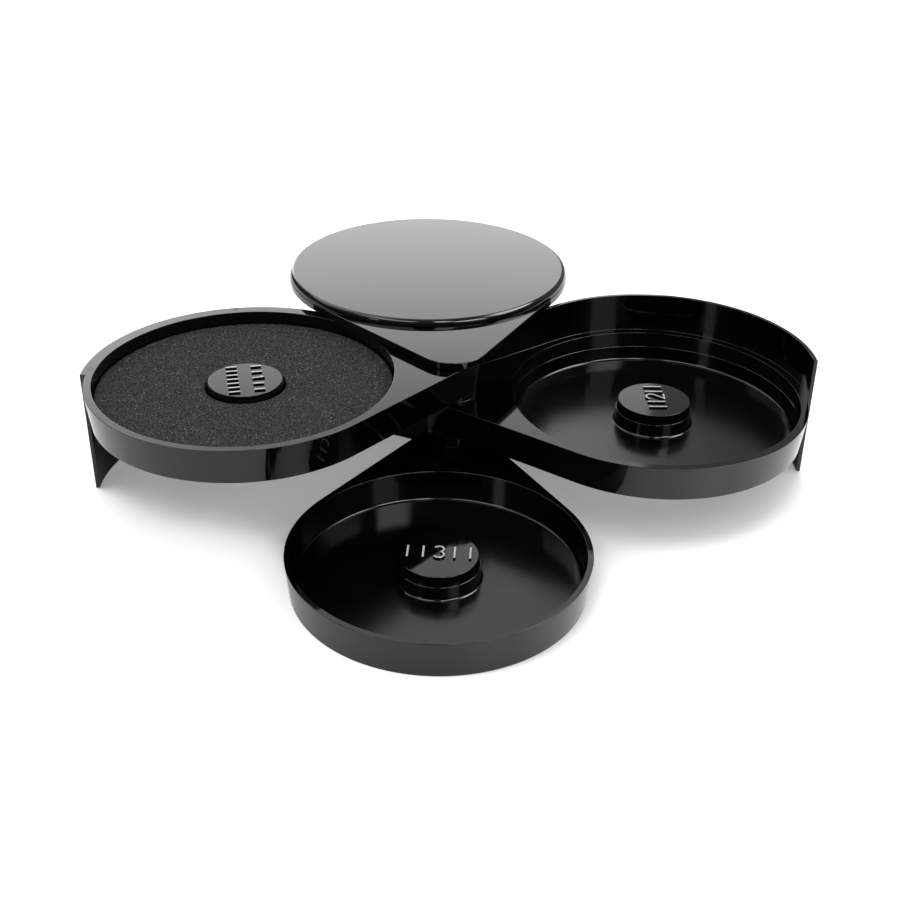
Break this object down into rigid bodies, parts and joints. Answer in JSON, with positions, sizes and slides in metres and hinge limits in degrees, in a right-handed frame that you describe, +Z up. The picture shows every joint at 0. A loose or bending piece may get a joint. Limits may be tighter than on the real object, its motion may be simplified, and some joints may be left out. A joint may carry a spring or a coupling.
{
  "type": "cocktail glass rimmer",
  "caption": "Swing-out glass rimmer: stacked round bowls for sugar, salt and a wet sponge, with a lid, all turning about one upright pivot.",
  "frame": {"origin": "centre of the sugar tray's round flat base, on the table", "axes": "+Z up along the pivot; +Y from the centre of the base towards the pivot, so the sugar tray points to -Y, the salt tray to +X, the sponge tray to -X and the lid to +Y when fanned out"},
  "size_m": [0.3552, 0.3463, 0.0701],
  "materials": {
    "black_plastic": "glossy black injection-moulded plastic",
    "foam": "open-cell black foam",
    "steel": "turned stainless steel",
    "washer_plastic": "natural white nylon"
  },
  "bodies": {
    "base": {"sugar_tray": "black_plastic", "head_washer": "steel", "lower_washer": "washer_plastic"},
    "salt_leaf": {"salt_tray": "black_plastic", "middle_washer": "washer_plastic"},
    "sponge_leaf": {"sponge_tray": "black_plastic", "sponge": "foam", "lid_washer": "washer_plastic"},
    "lid": {"lid_plate": "black_plastic", "lid_disc": "black_plastic", "pivot_post": "steel", "pivot_screw": "steel", "spring_washer": "steel"}
  },
  "joints": [
    {"name": "salt_swing", "type": "hinge", "parent": "base", "child": "salt_leaf", "pos_m": [0, 0.1015, 0.034], "axis": [0, 0, 1], "range_deg": [-93.5, 5]},
    {"name": "sponge_swing", "type": "hinge", "parent": "base", "child": "sponge_leaf", "pos_m": [0, 0.1015, 0.054], "axis": [0, 0, 1], "range_deg": [-5, 74.8]},
    {"name": "lid_swing", "type": "hinge", "parent": "base", "child": "lid", "pos_m": [0, 0.1015, 0.065], "axis": [0, 0, 1], "continuous": true}
  ]
}
